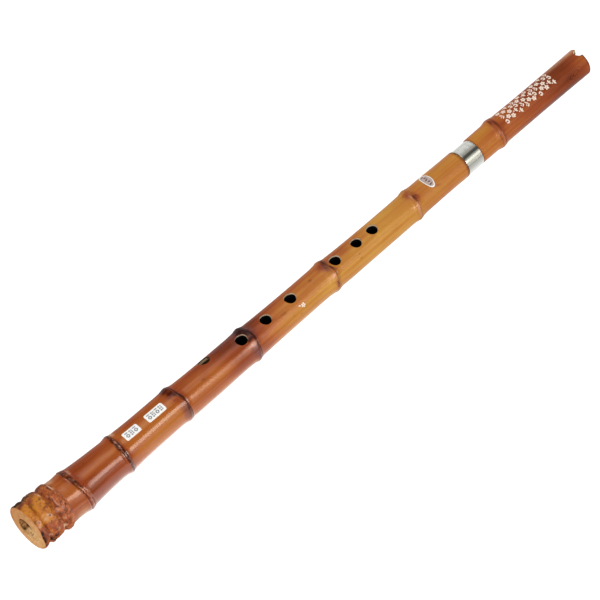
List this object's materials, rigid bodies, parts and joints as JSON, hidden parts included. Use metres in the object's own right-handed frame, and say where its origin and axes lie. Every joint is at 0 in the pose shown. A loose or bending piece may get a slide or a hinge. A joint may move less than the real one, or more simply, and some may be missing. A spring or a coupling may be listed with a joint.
{
  "type": "end-blown bamboo flute",
  "caption": "Root-end bamboo flute blown across a notch in its rim, in a foot section and a head section joined by a metal tenon that twists and pulls apart.",
  "frame": {"origin": "on the bore axis, halfway between the foot face and the mouth rim", "axes": "+X along the bore from the root end to the mouth end; +Z out through the in-line finger holes; +Y towards the side that the lowest, offset finger hole is on"},
  "size_m": [0.74, 0.0494, 0.0492],
  "materials": {
    "bamboo": "lacquered bamboo, glossy golden brown",
    "bamboo_head": "lacquered bamboo, glossy red brown",
    "silver_band": "polished nickel silver",
    "joint_tube": "drawn nickel silver",
    "label_white": "printed label, white",
    "label_silver": "printed label, pale silver"
  },
  "bodies": {
    "foot": {"foot_section": "bamboo", "lower_plate_label": "label_white", "upper_plate_label": "label_white", "oval_label": "label_silver"},
    "tenon": {"tenon_tube": "joint_tube"},
    "head": {"head_section": "bamboo_head", "metal_band": "silver_band", "socket_liner": "joint_tube"}
  },
  "joints": [
    {"name": "head_twist", "type": "hinge", "parent": "foot", "child": "tenon", "pos_m": [0.1961, 0, 0], "axis": [1, 0, 0], "continuous": true},
    {"name": "head_pull", "type": "slide", "parent": "tenon", "child": "head", "axis": [1, 0, 0], "range_m": [0, 0.045]}
  ]
}
